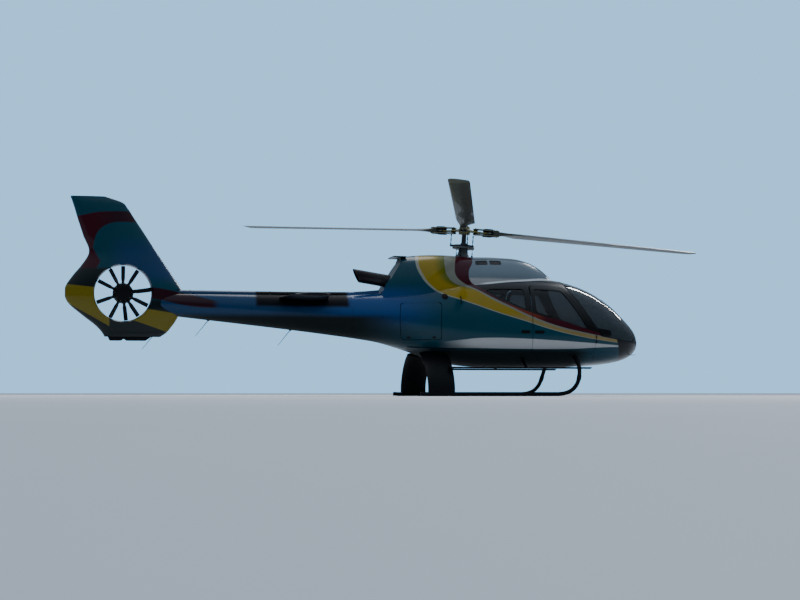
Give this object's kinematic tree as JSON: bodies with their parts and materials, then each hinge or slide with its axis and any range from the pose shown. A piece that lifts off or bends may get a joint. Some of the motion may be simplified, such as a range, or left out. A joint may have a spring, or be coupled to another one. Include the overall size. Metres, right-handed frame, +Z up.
{
  "type": "light utility helicopter",
  "caption": "Light single-engine helicopter on skids with a three-blade main rotor, a shrouded tail rotor, hinged front and baggage doors and a glazed cabin.",
  "frame": {"origin": "middle of the downward face of the cargo hook plate under the belly, on the rotor axis's plane", "axes": "+X towards the nose, +Y to the aircraft's left, +Z up"},
  "size_m": [12.6045, 9.0884, 3.61],
  "materials": {
    "hull_paint": "painted composite skin, dark teal",
    "roof_paint": "painted composite skin, silver grey",
    "hull_structure": "painted sheet and honeycomb",
    "black_alloy": "black painted alloy",
    "glazing": "tinted clear glazing",
    "lamp_glass": "clear lamp glass",
    "steel": "machined steel",
    "casting": "cast light alloy",
    "exhaust": "heat-browned steel",
    "rotor_composite": "painted composite",
    "hub_composite": "bare glass-fibre composite",
    "upholstery": "woven seat cloth",
    "trim": "black moulded plastic"
  },
  "bodies": {
    "airframe": {"lower_hull": "hull_structure", "cabin_frame": "roof_paint", "aft_fuselage": "hull_paint", "cabin_floor": "hull_structure", "rear_bulkhead": "upholstery", "front_seats": "upholstery", "rear_seats": "upholstery", "instrument_panel": "trim", "landing_light": "lamp_glass", "front_cowling": "roof_paint", "engine_cowling": "hull_paint", "gearbox": "steel", "engine": "casting", "exhaust_pipe": "exhaust", "tail_boom": "hull_paint", "driveshaft_cover": "hull_paint", "tail_shroud": "hull_paint", "vertical_fin": "hull_paint", "tail_bumper": "black_alloy", "tail_fan_stator": "black_alloy", "swashplate_fixed": "steel", "mast_housing": "casting", "hook_plate": "steel", "sliding_door_left": "hull_paint", "sliding_door_glass_left": "glazing", "windshield_left": "glazing", "stabiliser_left": "hull_paint", "skid_left": "black_alloy", "rear_leg_left": "black_alloy", "step_left": "black_alloy", "sliding_door_right": "hull_paint", "sliding_door_glass_right": "glazing", "windshield_right": "glazing", "stabiliser_right": "hull_paint", "skid_right": "black_alloy", "rear_leg_right": "black_alloy", "step_right": "black_alloy"},
    "main_rotor": {"rotor_hub": "hub_composite", "rotor_blade_1": "rotor_composite", "rotor_blade_2": "rotor_composite", "rotor_blade_3": "rotor_composite", "rotor_mast": "steel", "swashplate_turning": "steel"},
    "tail_rotor": {"tail_fan": "casting"},
    "front_door_left_body": {"front_door_left": "hull_paint", "front_door_glass_left": "glazing"},
    "baggage_door_left_body": {"baggage_door_left": "hull_paint"},
    "front_door_right_body": {"front_door_right": "hull_paint", "front_door_glass_right": "glazing"},
    "baggage_door_right_body": {"baggage_door_right": "hull_paint"}
  },
  "joints": [
    {"name": "main_rotor_spin", "type": "hinge", "parent": "airframe", "child": "main_rotor", "pos_m": [0, 0, 2.602], "axis": [0.0698, 0, 0.9976], "continuous": true},
    {"name": "tail_rotor_spin", "type": "hinge", "parent": "airframe", "child": "tail_rotor", "pos_m": [-6.37, 0.05, 1.332], "axis": [0, 1, 0], "continuous": true},
    {"name": "front_door_left_hinge", "type": "hinge", "parent": "airframe", "child": "front_door_left_body", "pos_m": [2.3, 0.885, 0.472], "axis": [0, 0, -1], "range_deg": [0, 80]},
    {"name": "front_door_right_hinge", "type": "hinge", "parent": "airframe", "child": "front_door_right_body", "pos_m": [2.3, -0.885, 0.472], "axis": [0, 0, 1], "range_deg": [0, 80]},
    {"name": "baggage_door_left_hinge", "type": "hinge", "parent": "airframe", "child": "baggage_door_left_body", "pos_m": [-0.985, 0.641, 1.184], "axis": [0.9428, 0.3332, 0], "range_deg": [0, 80]},
    {"name": "baggage_door_right_hinge", "type": "hinge", "parent": "airframe", "child": "baggage_door_right_body", "pos_m": [-0.985, -0.641, 1.184], "axis": [-0.9428, 0.3332, 0], "range_deg": [0, 80]}
  ]
}
